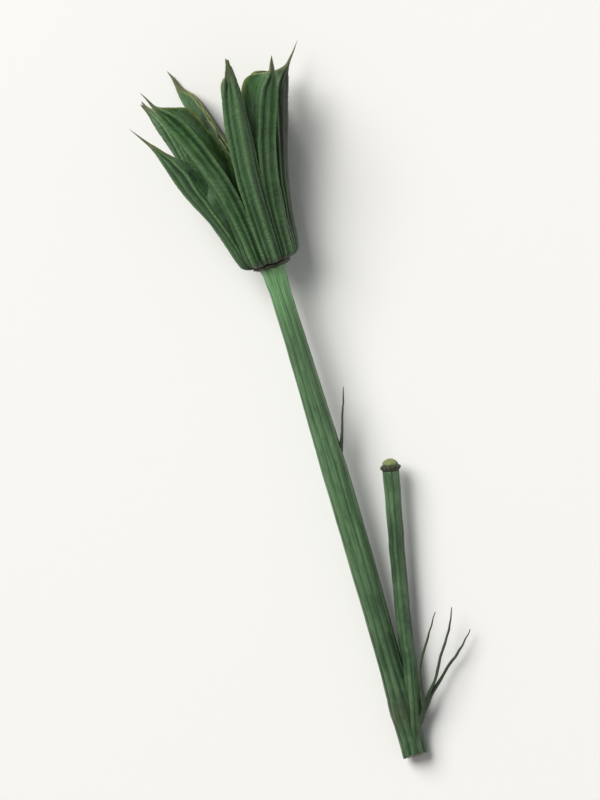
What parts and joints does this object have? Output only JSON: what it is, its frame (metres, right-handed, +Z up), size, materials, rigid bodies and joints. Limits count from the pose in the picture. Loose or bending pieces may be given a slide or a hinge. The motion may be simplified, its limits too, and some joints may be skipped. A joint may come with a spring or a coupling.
{
  "type": "nigella seed pod",
  "caption": "Dried, dyed-green nigella seed pod of open, beaked follicles joined round one axis, on a cut ribbed stem with a bare side stalk and thread-like leaves, lying down.",
  "frame": {"origin": "middle of the footprint of the whole pod and stem, on the surface it lies on", "axes": "+Z up from the surface, +X along the stem towards the pod's open mouth"},
  "size_m": [0.117, 0.0278, 0.0234],
  "materials": {
    "stem": "dried, dyed green, ribbed, satin",
    "receptacle": "dried, dyed green, rough",
    "knob": "dried, yellow-green, rough",
    "pod": "papery dried skin, dyed green, satin, with paler nerves and bloom",
    "leaf_thread": "dried thread leaf, olive green, matt"
  },
  "bodies": {
    "root": {"stem": "stem", "receptacle": "receptacle", "follicle_1": "pod", "follicle_2": "pod", "follicle_3": "pod", "follicle_4": "pod", "follicle_5": "pod", "follicle_6": "pod", "follicle_7": "pod", "follicle_8": "pod", "side_stalk": "stem", "side_receptacle": "knob", "upper_leaf": "leaf_thread", "lower_leaf": "leaf_thread"}
  },
  "joints": []
}
